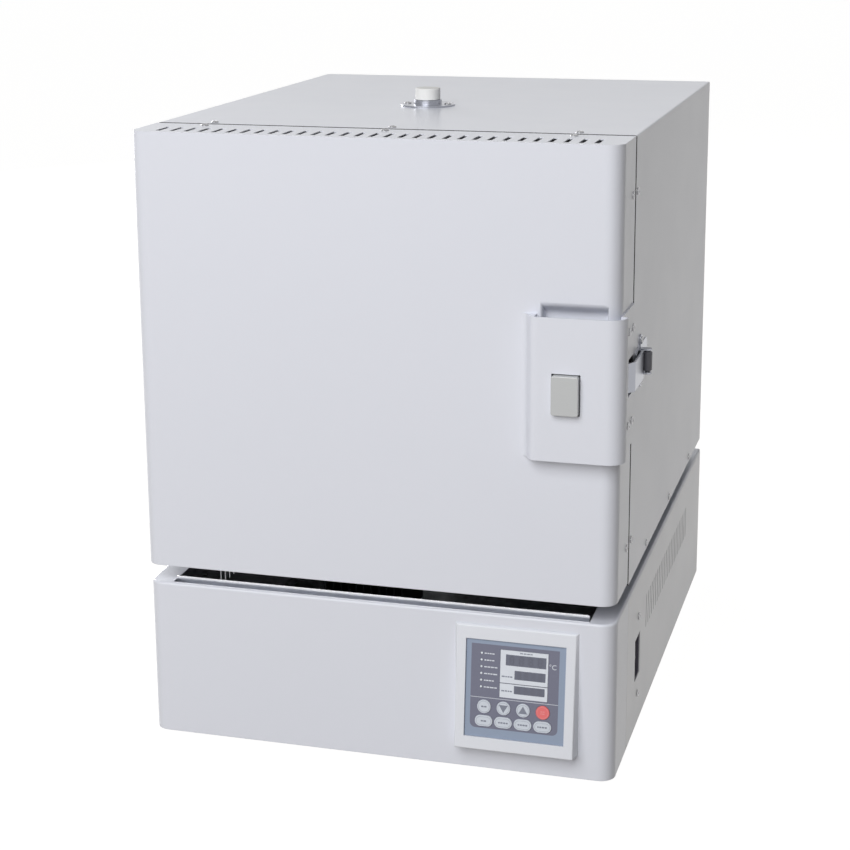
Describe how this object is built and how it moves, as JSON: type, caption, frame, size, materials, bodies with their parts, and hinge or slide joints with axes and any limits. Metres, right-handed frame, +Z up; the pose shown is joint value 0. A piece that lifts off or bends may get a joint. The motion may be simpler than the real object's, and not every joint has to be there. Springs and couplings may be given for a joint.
{
  "type": "muffle furnace",
  "caption": "Bench muffle furnace: insulated chamber with a side-hinged air-washed door, wrap-round grip with push-button latch, louvred control base and plugged roof port.",
  "frame": {"origin": "on the floor, below the middle of the furnace's bounding box", "axes": "+Z up, the door faces -Y, +X to the right seen from the front; the supply gland points along +Y"},
  "size_m": [0.6305, 0.812, 0.8063],
  "materials": {
    "enamel": "smooth pale grey baked enamel",
    "enamel_side": "smooth pale grey baked enamel",
    "stainless": "brushed stainless steel",
    "galvanised": "galvanised sheet",
    "screw_steel": "bright plated steel",
    "satin_button": "satin grey",
    "bezel_white": "satin moulded plastic",
    "fascia_grey": "printed polyester film",
    "display_white": "smooth display surround",
    "slate_plastic": "slate grey moulding",
    "black_enamel": "heat-resistant black paint",
    "lamp_clear": "clear lens",
    "key_pale": "raised key",
    "key_red": "raised key",
    "board_green": "circuit board",
    "black_plastic": "black moulding",
    "roller_grey": "dark nylon",
    "rubber": "rubber",
    "aluminium": "extruded aluminium",
    "white_ceramic": "unglazed white ceramic",
    "fibre_board": "ceramic fibre board",
    "heater_ceramic": "cast heater plate",
    "element": "oxidised resistance alloy",
    "seal": "woven ceramic rope"
  },
  "bodies": {
    "cabinet": {"base_cover": "enamel", "base_side_right": "enamel_side", "base_side_left": "enamel_side", "base_rear": "enamel_side", "base_tray": "galvanised", "feet": "rubber", "neck": "enamel_side", "sill_strip": "stainless", "switch_pan": "slate_plastic", "breaker_body": "black_plastic", "fan_housing": "black_plastic", "cable_gland": "black_plastic", "terminal_block": "black_plastic", "relay_heatsink": "aluminium", "casing_cover": "enamel", "casing_floor": "galvanised", "casing_rear": "enamel_side", "front_frame": "black_enamel", "inner_casing": "galvanised", "lining_rails": "galvanised", "throat_ring": "fibre_board", "lining_boards": "fibre_board", "rear_lining": "fibre_board", "heater_plates": "heater_ceramic", "hearth": "heater_ceramic", "heating_elements": "element", "thermocouple": "white_ceramic", "thermocouple_cover": "enamel_side", "exhaust_tube": "white_ceramic", "exhaust_flange": "stainless", "cabinet_screws": "screw_steel", "keeper": "stainless", "hinge_casing": "stainless", "bezel": "bezel_white", "fascia": "fascia_grey", "display_blocks": "display_white", "lamp_lenses": "lamp_clear", "circuit_board": "board_green"},
    "door": {"door_shell": "enamel", "door_liner": "stainless", "door_plug": "fibre_board", "door_gasket": "seal", "door_screws": "screw_steel", "grip": "enamel", "hinge_door": "stainless", "latch_bracket": "galvanised"},
    "push_button": {"button": "satin_button"},
    "latch": {"latch_hook": "stainless"},
    "keeper_roller": {"keeper_roller": "roller_grey"},
    "exhaust_plug": {"exhaust_plug": "white_ceramic"},
    "fan": {"fan_rotor": "black_plastic"},
    "supply_lever": {"breaker_lever": "black_plastic"},
    "key_round_1": {"key_round_1": "key_pale"},
    "key_oblong_1": {"key_oblong_1": "key_pale"},
    "key_round_2": {"key_round_2": "key_pale"},
    "key_oblong_2": {"key_oblong_2": "key_pale"},
    "key_round_3": {"key_round_3": "key_pale"},
    "key_oblong_3": {"key_oblong_3": "key_pale"},
    "key_round_4": {"key_round_4": "key_red"},
    "key_oblong_4": {"key_oblong_4": "key_pale"}
  },
  "joints": [
    {"name": "door_hinge", "type": "hinge", "parent": "cabinet", "child": "door", "pos_m": [-0.308, -0.2915, 0.50875], "axis": [0, 0, -1], "range_deg": [0, 120]},
    {"name": "button_push", "type": "slide", "parent": "door", "child": "push_button", "axis": [0, 1, 0], "range_m": [0, 0.005], "stiffness_N_per_m": 400},
    {"name": "latch_swing", "type": "hinge", "parent": "door", "child": "latch", "pos_m": [0.28, -0.348, 0.502], "axis": [0, 0, -1], "range_deg": [0, 7.4]},
    {"name": "roller_spin", "type": "hinge", "parent": "cabinet", "child": "keeper_roller", "pos_m": [0.31, -0.237, 0.502], "axis": [0, 0, 1], "continuous": true},
    {"name": "plug_lift", "type": "slide", "parent": "cabinet", "child": "exhaust_plug", "axis": [0, 0, 1], "range_m": [0, 0.045]},
    {"name": "fan_spin", "type": "hinge", "parent": "cabinet", "child": "fan", "pos_m": [-0.15, 0.361, 0.0915], "axis": [0, 1, 0], "continuous": true},
    {"name": "supply_toggle", "type": "hinge", "parent": "cabinet", "child": "supply_lever", "pos_m": [0.2815, -0.205, 0.102], "axis": [0, -1, 0], "range_deg": [0, 32]},
    {"name": "key_round_1_press", "type": "slide", "parent": "cabinet", "child": "key_round_1", "axis": [0, 0.9942, -0.1077], "range_m": [0, 0.0007], "stiffness_N_per_m": 500},
    {"name": "key_oblong_1_press", "type": "slide", "parent": "cabinet", "child": "key_oblong_1", "axis": [0, 0.9942, -0.1077], "range_m": [0, 0.0007], "stiffness_N_per_m": 500},
    {"name": "key_round_2_press", "type": "slide", "parent": "cabinet", "child": "key_round_2", "axis": [0, 0.9942, -0.1077], "range_m": [0, 0.0007], "stiffness_N_per_m": 500},
    {"name": "key_oblong_2_press", "type": "slide", "parent": "cabinet", "child": "key_oblong_2", "axis": [0, 0.9942, -0.1077], "range_m": [0, 0.0007], "stiffness_N_per_m": 500},
    {"name": "key_round_3_press", "type": "slide", "parent": "cabinet", "child": "key_round_3", "axis": [0, 0.9942, -0.1077], "range_m": [0, 0.0007], "stiffness_N_per_m": 500},
    {"name": "key_oblong_3_press", "type": "slide", "parent": "cabinet", "child": "key_oblong_3", "axis": [0, 0.9942, -0.1077], "range_m": [0, 0.0007], "stiffness_N_per_m": 500},
    {"name": "key_round_4_press", "type": "slide", "parent": "cabinet", "child": "key_round_4", "axis": [0, 0.9942, -0.1077], "range_m": [0, 0.0007], "stiffness_N_per_m": 500},
    {"name": "key_oblong_4_press", "type": "slide", "parent": "cabinet", "child": "key_oblong_4", "axis": [0, 0.9942, -0.1077], "range_m": [0, 0.0007], "stiffness_N_per_m": 500}
  ],
  "couplings": [
    {"joint": "latch_swing", "follows": "button_push", "rad_per_m": 25.641}
  ]
}
